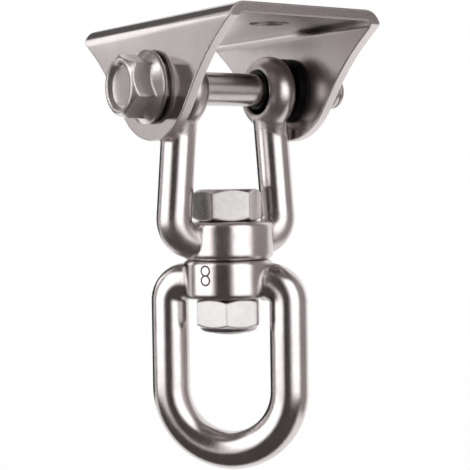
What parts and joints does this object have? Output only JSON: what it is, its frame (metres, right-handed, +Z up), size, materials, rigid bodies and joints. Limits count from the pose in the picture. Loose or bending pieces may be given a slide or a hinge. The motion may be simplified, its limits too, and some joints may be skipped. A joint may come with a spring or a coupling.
{
  "type": "swivel ceiling hook",
  "caption": "Folded steel ceiling bracket with a forged fork that swings on a cross bolt and a D-shaped eye that swivels below it, for hanging a swing, hammock or punch bag.",
  "frame": {"origin": "middle of the bracket's top face, which meets the ceiling", "axes": "+Z up into the ceiling, X along the cross bolt with its nut at +X, Y along the bracket's length"},
  "size_m": [0.0556, 0.0586, 0.0956],
  "materials": {
    "folded_plate": "satin stainless",
    "fasteners": "satin stainless",
    "bushes": "satin black nylon",
    "forgings": "polished stainless"
  },
  "bodies": {
    "bracket": {"ceiling_bracket": "folded_plate", "pivot_bolt": "fasteners", "pivot_nut": "fasteners", "left_bush": "bushes", "right_bush": "bushes"},
    "fork": {"swivel_fork": "forgings"},
    "eye": {"swivel_eye": "forgings", "swivel_bolt": "fasteners", "swivel_nut": "fasteners"}
  },
  "joints": [
    {"name": "fork_swing", "type": "hinge", "parent": "bracket", "child": "fork", "pos_m": [0, 0, -0.0144], "axis": [1, 0, 0], "range_deg": [-75, 75]},
    {"name": "eye_swivel", "type": "hinge", "parent": "fork", "child": "eye", "pos_m": [0, 0, -0.0504], "axis": [0, 0, 1], "continuous": true}
  ]
}
